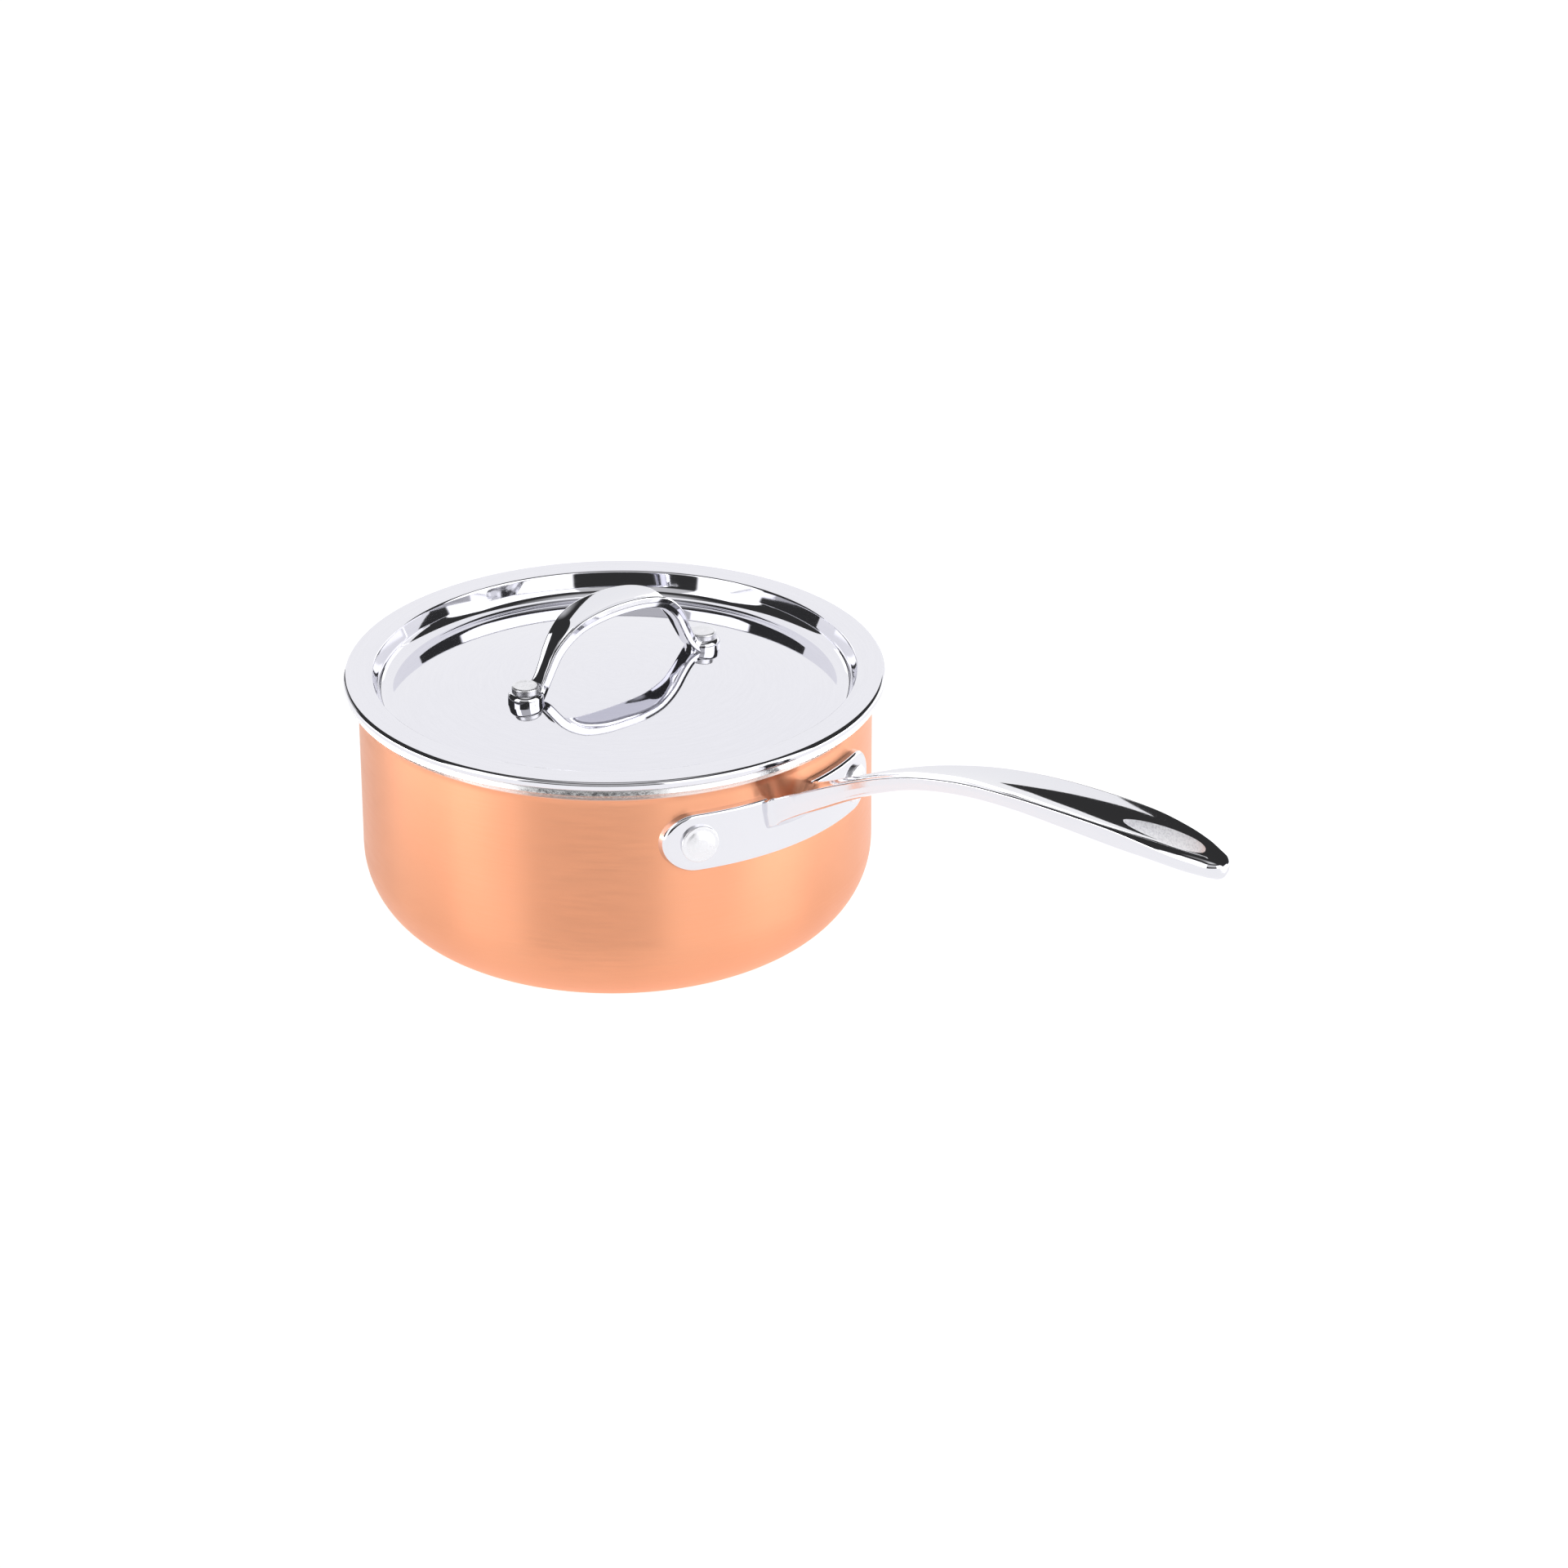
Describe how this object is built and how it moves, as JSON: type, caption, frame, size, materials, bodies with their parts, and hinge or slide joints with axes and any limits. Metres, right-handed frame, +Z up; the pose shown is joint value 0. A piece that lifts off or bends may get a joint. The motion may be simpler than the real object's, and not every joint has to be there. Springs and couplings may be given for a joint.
{
  "type": "saucepan with lid",
  "caption": "Copper-clad saucepan with a flat-edged lift-off steel lid, an arched lid handle and a long riveted cast handle with a hanging slot.",
  "frame": {"origin": "centre of the underside of the pan's flat base, which rests on the hob or table", "axes": "+Z up along the pan's axis, +X along the long handle away from the pan"},
  "size_m": [0.3999, 0.1946, 0.1309],
  "materials": {
    "copper": "satin copper, brushed round the pan",
    "core_aluminium": "bare cut edge at the lip",
    "liner_steel": "fine circular brushing",
    "cast_steel": "mirror polish",
    "lid_steel": "mirror polish",
    "rivet_steel": "satin"
  },
  "bodies": {
    "pan": {"copper_skin": "copper", "aluminium_core": "core_aluminium", "steel_liner": "liner_steel", "long_handle": "cast_steel", "handle_rivet_left": "rivet_steel", "handle_rivet_right": "rivet_steel"},
    "lid": {"lid_disc": "lid_steel", "lid_handle": "cast_steel", "lid_rivet_near": "rivet_steel", "lid_rivet_far": "rivet_steel"}
  },
  "joints": [
    {"name": "lid_lift", "type": "slide", "parent": "pan", "child": "lid", "axis": [0, 0, 1], "range_m": [0, 0.12]}
  ]
}
